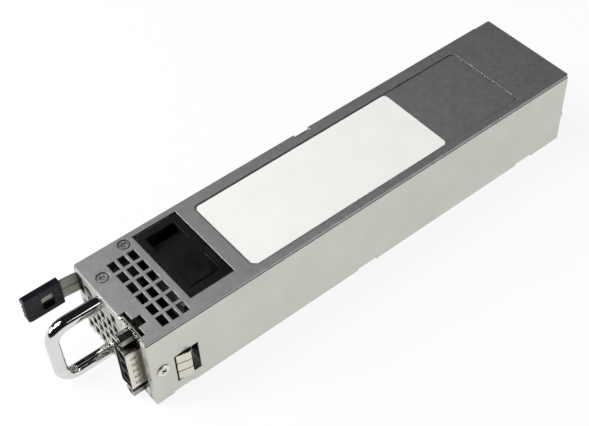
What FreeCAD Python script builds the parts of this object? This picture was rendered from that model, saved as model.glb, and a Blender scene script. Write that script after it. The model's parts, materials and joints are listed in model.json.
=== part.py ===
"""Hot swap server power supply: a slim sheet-steel case with a grab handle, a sprung
release latch, a vertical power connector and a 40 mm fan at the front, and a card edge
at the rear.

Everything is drawn from the front left bottom corner of the case: x to the right seen
from the front, y towards the rear, z up, in millimetres.  On export each piece is
shifted so that the origin lies at the centre of the case's underside.
"""
import FreeCAD
import Part
import math
import os

Vector = FreeCAD.Vector

# ---------------------------------------------------------------- case
case_width = 50.5
case_length = 228.0
case_height = 40.4
sheet = 0.8                     # steel thickness of tray, cover and panels
fold_radius = 1.0               # outside radius of the folds
cover_lip = 1.2                 # outside height of the cover's long edges
seam_gap = 0.6                  # shadow gap between side wall and the cover's edge
dimple_depth = 0.5              # how far dimples and the label recess are pressed in
cover_flange = 5.0              # depth of the cover's flanges inside the walls
cover_flange_front = 50.0       # the left flange starts behind the latch and the fan
cover_flange_end = 1.5          # the flanges stop this far before the case's ends
flange_clearance = 1.0          # round the cover's flanges, in the rear panel
cover_edge_radius = 0.4
cover_corner_radius = 1.2
foot_relief_height = 1.7        # reliefs along the right wall's lower edge
foot_relief_starts = (8.2, 104.0)
foot_relief_rear = 28.0         # start of the last relief, measured from the rear face
foot_relief_length = 11.0
foot_relief_depth = 1.5
foot_relief_slope = 2.5

# ---------------------------------------------------------------- cover details
vent_across = 5.2               # one vent, long side
vent_along = 3.3                # one vent, short side
vent_pitch_across = 6.72
vent_pitch_along = 4.67
cover_vent_columns = 6
cover_vent_rows = 3
cover_vent_x = 11.35            # centre of the first vent
cover_vent_y = 11.75
dimple_radius = 2.7
cover_screw_places = ((12.95, 5.5), (4.3, 21.1))
cover_hook_start = 110.7        # notch in the cover's left edge for the tray's hook
cover_hook_end = 118.6
cover_hook_depth = 2.1
hook_clearance = 0.5
hook_root = 1.0                 # how far the hook overlaps the wall below the seam
hook_drop = 0.9                 # the hook's top lies this far under the cover's top
label_length = 103.4
label_width = 39.8
label_front = 54.1
label_left = 6.5
label_thickness = 0.2
label_corner = 2.0
label_margin = 0.7
recess_rear = 199.3
recess_corner = 2.5

# ---------------------------------------------------------------- fan
fan_size = 40.0
fan_depth = 20.0
fan_x = 23.15                   # fan axis across the case
fan_front = 26.1
fan_window_clearance = 0.3
fan_window_rear_clearance = 0.7
fan_flange = 3.0
fan_corner = 1.6
fan_bore = 18.9
fan_duct_wall = 1.8             # the duct is flush with the frame's sides in their middle
fan_hole_spacing = 32.0
fan_hole_radius = 1.85
fan_rim = 4.0                   # the four corner posts, across
fan_base_radius = 10.6
fan_base_thickness = 1.6
fan_strut_width = 2.2
fan_strut_count = 4
fan_tube_radius = 3.6
fan_tip_clearance = 0.5
hub_radius = 10.6
hub_wall = 0.9
hub_chamfer = 0.7
hub_front_inset = 1.2           # hub face behind the fan's front face
hub_depth = 15.2
blade_count = 7
blade_thickness = 0.7
blade_root_pitch = 52.0         # degrees between blade chord and the fan axis
blade_tip_pitch = 64.0
blade_depth = 12.6
blade_bow = 1.1
blade_chord_share = 0.42        # chord width kept, so that neighbouring blades stay apart
yoke_thickness = 0.6
magnet_thickness = 1.2
magnet_length = 8.5
magnet_inset = 0.5              # before the hub's open end
rotor_running_gap = 0.5
fan_shaft_radius = 1.0
running_clearance = 0.03
fan_bearing_radius = 3.0
fan_bearing_width = 2.5
fan_bearing_inset = 0.4         # both bearings, inside the tube's ends
fan_tube_floor = 0.8
fan_shaft_seat = 0.5            # the shaft's depth in the hub's boss
fan_shaft_end_gap = 0.6
stator_gap = 0.4
stator_stack = 6.0
stator_inset = 8.0              # its front face, before the hub's open end
pole_shoe = 0.9
stator_core_wall = 1.0
tooth_width = 1.8
shoe_slot = 1.6
coil_build = 0.8
coil_end = 0.6
fan_board_radius = 8.4
fan_board_thickness = 0.8
fan_board_gap = 0.2             # board to the frame's base
stator_teeth = 4

# ---------------------------------------------------------------- fan bracket
bracket_front_foot = 8.0
bracket_ear_width = 4.6
bracket_relief = 6.6             # the foot stops short of the screw heads in the corners
bracket_ear_left = 2.6          # the ear under the cover, either side of its screw
bracket_ear_right = 2.0
fan_screw_head_radius = 2.5
fan_screw_head_height = 1.6
fan_screw_length = 7.0          # in the frame

# ---------------------------------------------------------------- front panel
panel_clearance = 0.05
panel_flange = 9.0
panel_top_flange_right = 30.0
panel_side_flange_bottom = 9.0
panel_side_flange_top = 30.0
side_screw_y = 5.45
side_screw_z = 19.45
grille_columns = 6
grille_rows = 5
grille_x = 3.45
grille_z = 5.4
grille_pitch_across = 4.68
grille_pitch_up = 6.75
rear_grille_columns = 9
rear_grille_rows = 4
rear_grille_lift = 5.0          # lowest row of the rear grille above the board

# ---------------------------------------------------------------- handle
handle_x = 18.6
handle_low = 5.0
handle_spacing = 30.5
handle_reach = 23.0             # panel to centre line
handle_radius = 2.9
handle_bend = 7.0
handle_thread_radius = 1.5
handle_thread_depth = 9.0
handle_screw_head_radius = 2.3
handle_screw_head_height = 1.8
handle_screw_end_gap = 1.0

# ---------------------------------------------------------------- release latch
latch_thickness = 0.6
latch_gap = 0.05                # between latch leaf and side wall
latch_low = 26.4
latch_height = 10.6
latch_reach = 22.0              # panel to the end of the leaf inside the grip
latch_step = 0.6                # how far the leaf steps outward in front of the panel
latch_step_rear = 0.4           # where the step starts, in front of the panel
latch_step_front = 1.2          # where it ends, behind the grip's rear face
latch_bend = 2.0
latch_groove_end = 3.0          # where the groove runs out, behind the panel's face
latch_pivot_y = 33.0            # where the leaf starts to flex
latch_root_length = 12.0
latch_split = 0.1
latch_groove_width = 0.7
latch_groove_depth = 0.2
tongue_height = 6.4             # upper part of the leaf that reaches into the grip
tongue_inset = 1.0              # the full leaf ends this far inside the grip
tooth_front = 12.4
tooth_length = 7.6
tooth_reach = 2.0               # out of the side wall
tooth_land = 0.8                # flat end of the tooth
tooth_height = 6.4
tooth_window_clearance = 0.6
rivet_radius = 1.2
rivet_head_radius = 1.9
rivet_head = 0.6
latch_opening_width = 4.6
latch_opening_margin = 0.4
latch_opening_left = 0.8
grip_length = 16.6
grip_height = 13.0
grip_thickness = 3.0
grip_rear = 7.7                 # in front of the panel
grip_window_length = 5.4
grip_window_height = 7.0
grip_window_rear = 3.9
grip_window_drop = 0.6          # window centre below the leaf's middle
grip_corner = 1.8
grip_ridges = 3
grip_ridge_radius = 1.6
grip_ridge_offset = 1.3         # their axis, in front of the grip's front face
grip_ridge_top = 2.4            # from the grip's top to the first ridge
grip_ridge_bottom = 0.6         # from the last ridge to the round corner
grip_rear_corner = 0.4
grip_top_corner = 0.7
grip_window_corner = 1.0

# ---------------------------------------------------------------- status light
light_x = 8.8
light_z = 31.7
light_radius = 3.1
light_flange_radius = 3.45
light_dome = 0.6
light_flange_thickness = 0.8
led_radius = 1.45
led_length = 3.6
led_rim_radius = 1.8
led_rim = 0.8
led_leg_half_pitch = 0.635
led_leg_radius = 0.25
led_leg_length = 5.4

# ---------------------------------------------------------------- power connector
connector_x = 40.0
connector_z = 20.4
shell_long = 25.2
shell_width = 8.4
shell_slope = 10.0              # degrees, the D's slanted ends
shell_corner = 1.3
shell_wall = 0.5
shell_reach = 5.9
flange_width = 12.55
flange_height = 39.1
flange_corner = 1.2
flange_thickness = 0.5
jack_spacing = 33.3
jack_across_flats = 4.76
jack_length = 5.4
jack_thread_radius = 1.2
jack_shank_radius = 1.4
jack_hole_radius = 1.55
jack_nut_height = 2.2
jack_shank_length = 3.0         # behind the panel
jack_floor = 0.6
connector_cut_margin = 0.7      # round the shell, in the panel behind it
insulator_clearance = 0.05
recess_side_clearance = 0.4
insulator_inset = 0.5           # behind the shell's front edge
contact_inset = 1.1             # behind the insulator's front face
contact_pitch = 6.86
contact_radius = 2.4
contact_bore_radius = 1.8
contact_bore_end = 3.0
contact_cup_radius = 2.2
contact_cup_bore = 1.4
contact_cup_length = 5.0
contact_cup_floor = 1.0
body_depth = 6.0
shell_dimples = 5
shell_dimple_pitch = 3.9
shell_dimple_radius = 1.1
shell_dimple_length = 2.4
shell_dimple_inset = 0.65      # how far the dimple tool's axis lies outside the shell's face
panel_slot_places = ((48.5, 27.6), (48.5, 17.4))
panel_slot_length = 5.0
panel_slot_width = 0.7
panel_slot_lean = 12.0          # degrees, tops towards the connector
cover_tee_left_margin = 1.4
cover_tee_right_margin = 0.1
cover_tee_slot = 1.3            # clear slot behind the panel's stepped wall
cover_stem_offset = 0.5            # the stem stands left of the connector's middle
cover_stem_width = 4.6
cover_stem_depth = 6.8

# ---------------------------------------------------------------- grounding spring
spring_window_front = 10.8
spring_window_rear = 22.1
spring_window_low = 6.6
spring_window_high = 23.1
spring_thickness = 0.3
spring_fingers = 3
spring_finger_height = 4.7
spring_slot = 0.45
spring_seat_gap = 0.2           # hooked edge behind the wall's inner face
spring_bulge = 1.3              # beyond the wall's outer face
spring_bend = 0.45
spring_hook = 0.9               # the hooked edge, in front of the window's front edge
spring_rise = 0.55              # the following are all measured from that edge
spring_knee = 0.8
spring_peak_front = 5.9
spring_peak_rear = 6.9
spring_tail_front = 8.6
spring_tail_rear = 9.0

# ---------------------------------------------------------------- main board
board_front = 52.0
board_side_gap = 1.5
board_thickness = 1.6
board_bottom = 6.4
card_edge_width = 39.5
card_edge_reach = 8.7           # beyond the rear face
card_slot_clearance = 0.5
board_rear_gap = 0.4
standoff_across_flats = 4.8
standoff_spigot_radius = 2.0
standoff_front = 6.0            # front pair, behind the board's front edge
standoff_rear = 14.0            # rear pair, before the rear face
standoff_inset = 4.6
film_height = 33.0
film_fold_radius = 1.0
film_thickness = 0.25
finger_thickness = 0.1
finger_length = 7.0
finger_edge = 0.9               # bare board round the contacts
power_pads = 4                  # on each side of the signal pads
power_pad_width = 2.6
power_pad_pitch = 3.1
power_pad_inset = 0.2
signal_pads = 10
signal_pad_width = 0.7
signal_pad_pitch = 1.2

# ---------------------------------------------------------------- screws
screw_thread_radius = 1.45
thread_clearance = 0.05
flat_head_radius = 2.2
side_head_radius = 2.75
side_head_height = 0.65
board_head_radius = 2.6
board_head_height = 1.7
board_screw_length = 3.5        # below the board
cross_width = 0.7
cross_length = 2.6
cross_depth = 0.35
side_cross_depth = 0.55
side_cross_turn = 40.0          # degrees that the side screw stands turned from upright

# ---------------------------------------------------------------- power circuit on the board
choke_from_left = 14.2          # filter choke, from the left wall's inner face
choke_from_front = 21.0         # from the board's front edge
choke_outer = 10.0
choke_inner = 5.2
choke_height = 9.0
choke_base = 2.0
choke_base_half = 9.5
winding_build = 1.3
bulk_from_right = 15.7          # bulk capacitors, from the right wall's inner face
bulk_from_front = 10.0
bulk_spacing = 17.5
bulk_count = 2
bulk_radius = 8.0
bulk_height = 27.0
can_neck = 2.6                  # height of the crimped neck
can_neck_depth = 0.5
can_neck_width = 1.6
film_block_from_left = 4.7
film_block_from_front = 32.0
film_block_spacing = 9.0
film_block_count = 2
film_block_width = 17.0
film_block_depth = 7.0
film_block_height = 14.0
film_block_edge = 0.8
fuse_from_right = 5.1
fuse_from_front = 32.0
fuse_length = 20.0
fuse_radius = 2.7
fuse_cap_radius = 3.1
fuse_cap_length = 5.0
fuse_lift = 3.6
fuse_foot = 2.0
control_from_right = 13.3       # left face of the small upright board
control_from_front = 37.0
control_length = 20.0
control_height = 20.0
control_thickness = 1.2
chip_thickness = 1.3
chip_sizes = ((4.0, 6.0, 6.0, 6.0), (12.5, 5.0, 7.0, 10.0), (17.6, 9.0, 3.0, 4.0))
sinks_from_rear = 98.0          # front ends of both heat sinks, from the rear face
primary_sink_from_left = 8.2    # mounting face of the sink
secondary_sink_from_right = 8.5
sink_depth = 6.0
sink_height = 27.0
sink_plate = 2.4
sink_fin = 1.2
sink_fins = 6
primary_sink_length = 38.0
secondary_sink_length = 46.0
transistor_lift = 4.0
transistor_width = 10.0
transistor_tab = 1.3
transistor_tab_height = 16.0
transistor_body = 4.4
transistor_body_height = 9.5
transistor_hole_radius = 1.8
transistor_hole_height = 12.8
transistor_leg_pitch = 2.54
transistor_leg = 0.7
transistor_leg_inset = 2.4
transistor_first = 7.0          # first one, from the sink's front end
primary_transistor_count = 2
primary_transistor_pitch = 18.0
rectifier_count = 3
rectifier_pitch = 16.0
clamp_head_radius = 2.6
clamp_head_height = 1.9
transformer_from_sinks = 14.0
core_length = 30.0
core_width = 20.0
core_height = 26.0
core_leg = 5.0
core_middle_leg = 8.0
core_middle_width = 12.0
winding_overhang = 1.0          # how far the winding stands out of the core's sides
winding_corner = 2.0
transformer_lift = 1.0
pin_count = 5
pin_pitch = 4.0
pin_side = 1.0
pin_row = 12.5                  # pin rows before and behind the transformer's middle
output_choke_from_left = 15.2
output_choke_from_rear = 32.0
output_choke_width = 20.0
output_choke_length = 26.0
output_choke_height = 18.0
output_choke_leg = 4.0
output_choke_foot = 5.0
output_choke_middle_width = 12.0
output_choke_middle_height = 5.0
strap_build = 2.3               # copper strap round the output choke's middle leg
strap_turns = 5
strap_gap = 0.6
output_can_radius = 4.0
output_can_height = 16.0
output_can_columns = (19.5, 10.7)   # from the right wall's inner face
output_can_from_rear = 44.0
output_can_pitch = 9.0
output_can_rows = 4
bar_thickness = 1.5
choke_bar = (7.2, 21.2, 16.5, 4.0)      # from left wall: left and right edges; from rear: front and rear
can_bar = (22.7, 6.2, 10.0, 4.0)        # from right wall: left and right edges; from rear: front and rear
wire_radius = 1.3
lead_from_right = 4.1
lead_bend = 3.4
lead_first = 12.5               # first lead meets the board this far behind its front edge
lead_pitch = 6.0
lead_straight = 6.8             # straight length behind the connector's cup
lead_jog = 7.5                  # length over which a lead moves out beside the fan
terminal_radius = 2.0
terminal_height = 2.0

# ---------------------------------------------------------------- derived places
cover_under = case_height - sheet
wall_top = case_height - cover_lip - seam_gap
panel_top = cover_under - dimple_depth
inner_left = sheet
inner_right = case_width - sheet
fan_z = case_height / 2
fan_rear = fan_front + fan_depth
set_back = 2 * flange_thickness         # the panel steps back behind the connector
insulator_front = insulator_inset - shell_reach
board_top = board_bottom + board_thickness
handle_high = handle_low + handle_spacing
latch_left = sheet + latch_gap
latch_right = latch_left + latch_thickness
latch_high = latch_low + latch_height
tooth_middle = latch_low + latch_height / 2
grip_low = tooth_middle - grip_height / 2
tongue_low = latch_high - tongue_height
tongue_root = -grip_rear - tongue_inset
latch_outer = latch_left - latch_step
grip_left = latch_outer + latch_thickness / 2 - grip_thickness / 2
choke_x = inner_left + choke_from_left
choke_y = board_front + choke_from_front
primary_sink_face = inner_left + primary_sink_from_left
secondary_sink_face = inner_right - secondary_sink_from_right
sink_front = case_length - sinks_from_rear
transformer_x = (primary_sink_face + secondary_sink_face) / 2
transformer_y = sink_front + transformer_from_sinks
output_choke_x = inner_left + output_choke_from_left
output_choke_y = case_length - output_choke_from_rear
lead_x = inner_right - lead_from_right
shift = Vector(-case_width / 2, -case_length / 2, 0)


# ================================================================ drawing helpers
def box(x0, x1, y0, y1, z0, z1):
    return Part.makeBox(x1 - x0, y1 - y0, z1 - z0, Vector(x0, y0, z0))


def rod(axis, place, start, end, radius):
    """A round bar along x, y or z; place holds its other two coordinates in x, y, z order."""
    if axis == "x":
        return Part.makeCylinder(radius, end - start, Vector(start, *place), Vector(1, 0, 0))
    if axis == "y":
        return Part.makeCylinder(radius, end - start, Vector(place[0], start, place[1]), Vector(0, 1, 0))
    return Part.makeCylinder(radius, end - start, Vector(place[0], place[1], start), Vector(0, 0, 1))


def tube(axis, place, start, end, outer, inner):
    return rod(axis, place, start, end, outer).cut(rod(axis, place, start, end, inner))


def to_space(plane, a, b, level):
    if plane == "xy":
        return Vector(a, b, level)
    if plane == "xz":
        return Vector(a, level, b)
    return Vector(level, a, b)


normals = {"xy": Vector(0, 0, 1), "xz": Vector(0, 1, 0), "yz": Vector(1, 0, 0)}


def rounded_wire(points, radii):
    """A closed outline through 3-D points, each corner rounded by its own radius."""
    starts = []
    ends = []
    edges = []
    count = len(points)
    for i in range(count):
        corner = points[i]
        back = (points[i - 1] - corner).normalize()
        ahead = (points[(i + 1) % count] - corner).normalize()
        radius = radii[i]
        if radius <= 0:
            starts.append(corner)
            ends.append(corner)
            continue
        half = back.getAngle(ahead) / 2
        reach = radius / math.tan(half)
        middle_line = (back + ahead).normalize()
        centre = corner + middle_line * (radius / math.sin(half))
        starts.append(corner + back * reach)
        ends.append(corner + ahead * reach)
        edges.append(Part.Arc(starts[i], centre - middle_line * radius, ends[i]).toShape())
    for i in range(count):
        following = starts[(i + 1) % count]
        if ends[i].distanceToPoint(following) > 1e-6:
            edges.append(Part.LineSegment(ends[i], following).toShape())
    return Part.Wire(Part.__sortEdges__(edges))


def prism(plane, points, level, depth, radii=None):
    """Extrude an outline given by pairs in a plane, from one level through a depth."""
    if radii is None:
        radii = [0] * len(points)
    elif not isinstance(radii, (list, tuple)):
        radii = [radii] * len(points)
    corners = [to_space(plane, a, b, level) for a, b in points]
    return Part.Face(rounded_wire(corners, radii)).extrude(normals[plane] * depth)


def rounded_box(plane, a0, a1, b0, b1, level, depth, radius):
    return prism(plane, [(a0, b0), (a1, b0), (a1, b1), (a0, b1)], level, depth, radius)


def folded_sheet(plane, line, radius, thickness, level, depth):
    """A folded strip: the line is one face, the sheet lies to its left, seen against the
    plane's second axis turning from its first."""
    base = [Vector(a, b, 0) for a, b in line]
    inner = []
    base_radii = []
    inner_radii = []
    last = len(base) - 1
    for i, point in enumerate(base):
        before = (point - base[i - 1]).normalize() if i else None
        after = (base[i + 1] - point).normalize() if i < last else None
        if before is None or after is None:
            way = after if before is None else before
            inner.append(point + Vector(-way.y, way.x, 0) * thickness)
            base_radii.append(0)
            inner_radii.append(0)
            continue
        left_before = Vector(-before.y, before.x, 0)
        left_after = Vector(-after.y, after.x, 0)
        mitre = (left_before + left_after).normalize()
        inner.append(point + mitre * (thickness / mitre.dot(left_before)))
        turn = before.x * after.y - before.y * after.x
        base_radii.append(radius)
        inner_radii.append(max(radius - thickness, 0) if turn > 0 else radius + thickness)
    outline = [(p.x, p.y) for p in base + inner[::-1]]
    return prism(plane, outline, level, depth, base_radii + inner_radii[::-1])


def hexagon(axis, place, start, end, across_flats):
    """A hexagonal bar along y or z, two of its flats facing left and right."""
    a, b = place
    reach = across_flats / math.sqrt(3)
    points = []
    for i in range(6):
        angle = math.radians(60 * i + 30)
        points.append((a + reach * math.cos(angle), b + reach * math.sin(angle)))
    return prism({"y": "xz", "z": "xy"}[axis], points, start, end - start)


def join(shapes):
    return shapes[0].fuse(shapes[1:]).removeSplitter()


def cut(shape, tools):
    return shape.cut(list(tools))


def group(shapes):
    return Part.makeCompound(shapes)


def bent_bar(points, radius, bend):
    """A round bar or wire: straight runs from point to point, joined by tangent bends."""
    solids = []
    place = points[0]
    for i in range(1, len(points) - 1):
        corner = points[i]
        back = (points[i - 1] - corner).normalize()
        ahead = (points[i + 1] - corner).normalize()
        half = back.getAngle(ahead) / 2
        reach = bend / math.tan(half)
        start = corner + back * reach
        centre = corner + (back + ahead).normalize() * (bend / math.sin(half))
        solids.append(Part.makeCylinder(radius, (start - place).Length, place, start - place))
        section = Part.Face(Part.Wire(Part.makeCircle(radius, start, back)))
        solids.append(section.revolve(centre, ahead.cross(back), 180 - math.degrees(2 * half)))
        place = corner + ahead * reach
    end = points[-1]
    solids.append(Part.makeCylinder(radius, (end - place).Length, place, end - place))
    return join(solids)


def cross_cut(axis, place, start, depth):
    """The cross slot of a screw, cut into its head from start over depth."""
    slots = []
    for half_a, half_b in ((cross_length / 2, cross_width / 2), (cross_width / 2, cross_length / 2)):
        a = (place[0] - half_a, place[0] + half_a)
        b = (place[1] - half_b, place[1] + half_b)
        along = (start, start + depth)
        if axis == "x":
            slots.append(box(*along, *a, *b))
        elif axis == "y":
            slots.append(box(*a, *along, *b))
        else:
            slots.append(box(*a, *b, *along))
    return slots


def turned(profile, x, y):
    """A solid turned about an upright line, from radius and height pairs."""
    points = [Vector(r, 0, z) for r, z in profile]
    wire = Part.makePolygon(points + [points[0]])
    solid = Part.Face(wire).revolve(Vector(0, 0, 0), Vector(0, 0, 1), 360)
    solid.translate(Vector(x, y, 0))
    return solid


# ================================================================ case
def hook_tab():
    """The tray's hook, folded in from the left wall under the cover's notch."""
    front = cover_hook_start + hook_clearance
    length = cover_hook_end - cover_hook_start - 2 * hook_clearance
    top = case_height - hook_drop
    line = [(cover_hook_depth, top), (0, top), (0, wall_top - hook_root)]
    return folded_sheet("xz", line, sheet, sheet, front, length)


def foot_reliefs():
    """Reliefs along the lower edge of the right wall; the front one slopes up at its rear."""
    cuts = []
    top = foot_relief_height
    for start in foot_relief_starts + (case_length - foot_relief_rear,):
        end = start + foot_relief_length
        outline = [(start, -1), (end, -1), (end, top), (start, top)]
        if start == foot_relief_starts[0]:
            outline = [(start, -1), (end, -1), (end, top / 4), (end - foot_relief_slope, top), (start, top)]
        cuts.append(prism("yz", outline, case_width - foot_relief_depth, foot_relief_depth + 1))
    return cuts


def base_tray():
    line = [(0, wall_top), (0, 0), (case_width, 0), (case_width, wall_top)]
    tray = folded_sheet("xz", line, fold_radius, sheet, 0, case_length)
    tray = join([tray, hook_tab()])
    tools = foot_reliefs()
    tools.append(box(inner_right - 1, case_width + 1, spring_window_front, spring_window_rear,
                     spring_window_low, spring_window_high))
    tools.append(rod("x", (side_screw_y, side_screw_z), inner_right - 1, case_width + 1,
                     screw_thread_radius + thread_clearance))
    tools.append(box(-1, inner_left + 1, tooth_front - tooth_window_clearance,
                     tooth_front + tooth_length + tooth_window_clearance,
                     tooth_middle - tooth_height / 2 - tooth_window_clearance,
                     tooth_middle + tooth_height / 2 + tooth_window_clearance))
    tools.append(fan_window(-1, sheet + 1))
    for y, z in rivet_places():
        tools.append(rod("x", (y, z), -1, inner_left + 1, rivet_radius + thread_clearance))
    for x, y in standoff_places():
        tools.append(rod("z", (x, y), -1, sheet + 1, standoff_spigot_radius + thread_clearance))
    return cut(tray, tools)


def fan_window(low, high):
    half = fan_size / 2 + fan_window_clearance
    return box(fan_x - half, fan_x + half, fan_front - fan_window_clearance,
               fan_rear + fan_window_rear_clearance, low, high)


def cover_vents():
    tools = []
    for column in range(cover_vent_columns):
        for row in range(cover_vent_rows):
            x = cover_vent_x + column * vent_pitch_across
            y = cover_vent_y + row * vent_pitch_along
            tools.append(box(x - vent_across / 2, x + vent_across / 2, y - vent_along / 2, y + vent_along / 2,
                             cover_under - 1, case_height + 1))
    return tools


def label_recess(margin, low, high):
    left = label_left - label_margin - margin
    right = label_left + label_width + label_margin + margin
    front = label_front - label_margin - margin
    return rounded_box("xy", left, right, front, recess_rear + margin, low, high - low,
                       recess_corner + margin)


def top_cover():
    lip = case_height - cover_lip
    section = [(0, lip), (inner_left, lip), (inner_left, cover_under), (inner_right, cover_under),
               (inner_right, lip), (case_width, lip), (case_width, case_height), (0, case_height)]
    radii = [0] * 6 + [cover_edge_radius] * 2
    plate = prism("xz", section, 0, case_length, radii)
    outline = rounded_box("xy", 0, case_width, 0, case_length, cover_under - 1, sheet + 2,
                          cover_corner_radius)
    plate = plate.common(outline)
    flange_low = cover_under - cover_flange
    end = case_length - cover_flange_end
    solids = [plate, box(inner_left, inner_left + sheet, cover_flange_front, end, flange_low, cover_under),
              box(inner_right - sheet, inner_right, cover_flange_end, end, flange_low, cover_under),
              label_recess(0.5, panel_top, cover_under)]
    for x, y in cover_screw_places:
        solids.append(rod("z", (x, y), panel_top, cover_under, dimple_radius + 0.3))
    cover = join(solids)
    tools = cover_vents()
    tools.append(fan_window(cover_under - 8, case_height + 1))
    tools.append(label_recess(0, case_height - dimple_depth, case_height + 1))
    for x, y in cover_screw_places:
        tools.append(rod("z", (x, y), case_height - dimple_depth, case_height + 1, dimple_radius))
        tools.append(rod("z", (x, y), panel_top - 1, case_height, screw_thread_radius + thread_clearance))
    tee_left = connector_x - flange_width / 2 - cover_tee_left_margin
    tee_right = connector_x + flange_width / 2 + cover_tee_right_margin
    stem = connector_x - cover_stem_offset
    tee_rear = set_back + sheet + cover_tee_slot
    tools.append(box(tee_left, tee_right, -1, tee_rear, cover_under - 1, case_height + 1))
    tools.append(box(stem - cover_stem_width / 2, stem + cover_stem_width / 2, 0, cover_stem_depth,
                     cover_under - 1, case_height + 1))
    tools.append(box(-1, cover_hook_depth, cover_hook_start, cover_hook_end, flange_low - 1, case_height + 1))
    tools.append(box(-1, 0.5, case_length - 9, case_length + 1, cover_under - 1, case_height + 1))
    return cut(cover, tools)


def blank_label():
    """The self-adhesive label, left bare, with one corner cut off."""
    right = label_left + label_width
    rear = label_front + label_length
    top = case_height - dimple_depth
    points = [(label_left, label_front), (right - label_corner, label_front),
              (right, label_front + label_corner), (right, rear), (label_left, rear)]
    radii = [label_corner, 0, 0, label_corner, label_corner]
    return prism("xy", points, top, label_thickness, radii)


def panel_outline(y0, depth):
    gap = panel_clearance
    return rounded_box("xz", inner_left + gap, inner_right - gap, sheet, panel_top, y0, depth, fold_radius)


def upright_vent(x, z, start):
    """One vent of a panel's grille, its long side upright, cut through the sheet after start."""
    return box(x - vent_along / 2, x + vent_along / 2, start - 1, start + sheet + 1,
               z - vent_across / 2, z + vent_across / 2)


def grille_holes():
    """The front grille leaves out the vents that meet the latch, the light or a handle leg."""
    tools = []
    for column in range(grille_columns):
        for row in range(grille_rows):
            x = grille_x + column * grille_pitch_across
            z = grille_z + row * grille_pitch_up
            latch_edge = latch_opening_left + latch_opening_width + 1
            beside_latch = x < latch_edge and z > latch_low - vent_across
            beside_light = abs(x - light_x) < light_flange_radius + 2 and z > light_z - vent_across / 2
            leg_reach = handle_radius + vent_along / 2 + 0.3
            leg_below = min(abs(z - handle_low), abs(z - handle_high))
            behind_leg = abs(x - handle_x) < leg_reach and leg_below < vent_across
            if not (beside_latch or beside_light or behind_leg):
                tools.append(upright_vent(x, z, 0))
    return tools


def panel_slots():
    """Two leaning slots in the narrow strip right of the connector."""
    tools = []
    for x, z in panel_slot_places:
        slot = box(x - panel_slot_width / 2, x + panel_slot_width / 2, -1, sheet + 0.2,
                   z - panel_slot_length / 2, z + panel_slot_length / 2)
        slot.rotate(Vector(x, 0, z), Vector(0, -1, 0), panel_slot_lean)
        tools.append(slot)
    return tools


def front_panel():
    line = [(panel_flange, sheet), (0, sheet), (0, panel_top), (panel_flange, panel_top)]
    line = line[::-1]
    panel = folded_sheet("yz", line, fold_radius, sheet, 0, case_width)
    panel = panel.common(panel_outline(-1, panel_flange + 2))
    top_cut = panel_top - sheet - 0.01
    left = connector_x - flange_width / 2 - recess_side_clearance
    right = connector_x + flange_width / 2 + recess_side_clearance
    tools = [box(panel_top_flange_right, case_width, sheet + 0.6, panel_flange + 1, top_cut, panel_top + 1),
             box(panel_top_flange_right, case_width, sheet + 0.6, panel_flange + 1, 0, sheet * 2 + 0.01),
             box(left, right, -1, panel_flange + 1, 0, case_height)]
    panel = cut(panel, tools)
    step = set_back + sheet
    back_wall = box(left - sheet, right + sheet, set_back, step, sheet, panel_top)
    returns = [box(left - sheet, left, 0, step, sheet + fold_radius, panel_top - fold_radius),
               box(right, right + sheet, 0, step, sheet + fold_radius, panel_top - fold_radius)]
    side = box(inner_right - panel_clearance - sheet, inner_right - panel_clearance, 0, panel_flange + 0.6,
               panel_side_flange_bottom, panel_side_flange_top)
    panel = join([panel, back_wall, side] + returns)
    tools = grille_holes()
    tools.append(rounded_box("xz", latch_opening_left - 1, latch_opening_left + latch_opening_width,
                             latch_low - latch_opening_margin, latch_high + latch_opening_margin, -1,
                             sheet + 2, 0.9))
    tools.append(rod("y", (light_x, light_z), -1, sheet + 1, light_radius + thread_clearance))
    for z in (handle_low, handle_high):
        tools.append(rod("y", (handle_x, z), -1, sheet + 1, screw_thread_radius + thread_clearance))
    tools.append(dee(shell_long + 2 * connector_cut_margin, shell_width + 2 * connector_cut_margin,
                     shell_corner + connector_cut_margin, set_back - 1, step + 1))
    for z in jack_places():
        tools.append(rod("y", (connector_x, z), set_back - 1, step + 1, jack_hole_radius))
    tools.append(rod("x", (side_screw_y, side_screw_z), inner_right - 3, inner_right + 1,
                     screw_thread_radius + thread_clearance))
    x, y = cover_screw_places[0]
    tools.append(rod("z", (x, y), panel_top - 3, panel_top + 1, screw_thread_radius + thread_clearance))
    return cut(panel, tools + panel_slots())


def rear_panel():
    rear = case_length
    line = [(rear - panel_flange, sheet), (rear, sheet), (rear, panel_top), (rear - panel_flange, panel_top)]
    panel = folded_sheet("yz", line, fold_radius, sheet, 0, case_width)
    panel = panel.common(panel_outline(rear - panel_flange - 1, panel_flange + 2))
    half = card_edge_width / 2 + card_slot_clearance
    middle = case_width / 2
    tools = [box(middle - half, middle + half, rear - sheet - 1, rear + 1, board_bottom - card_slot_clearance,
                 board_top + card_slot_clearance)]
    for column in range(rear_grille_columns):
        for row in range(rear_grille_rows):
            x = middle + (column - (rear_grille_columns - 1) / 2) * grille_pitch_across
            z = board_top + rear_grille_lift + row * grille_pitch_up
            tools.append(upright_vent(x, z, rear - sheet))
    ear = sheet * 2 + flange_clearance
    for side in (0, case_width - ear):
        tools.append(box(side, side + ear, rear - panel_flange - 1, rear - sheet - 0.6,
                         cover_under - cover_flange - flange_clearance, case_height))
    return cut(panel, tools)


# ================================================================ screws
def cover_screws():
    """Flat-headed screws seated in the cover's dimples, threaded into the sheet below."""
    screws = []
    seat = case_height - dimple_depth
    for x, y in cover_screw_places:
        head = rod("z", (x, y), seat, case_height - 0.05, flat_head_radius)
        shank = rod("z", (x, y), panel_top - sheet - 2.0, seat, screw_thread_radius)
        screw = join([head, shank])
        screws.append(cut(screw, cross_cut("z", (x, y), case_height - 0.05 - cross_depth, 1)))
    return group(screws)


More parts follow.
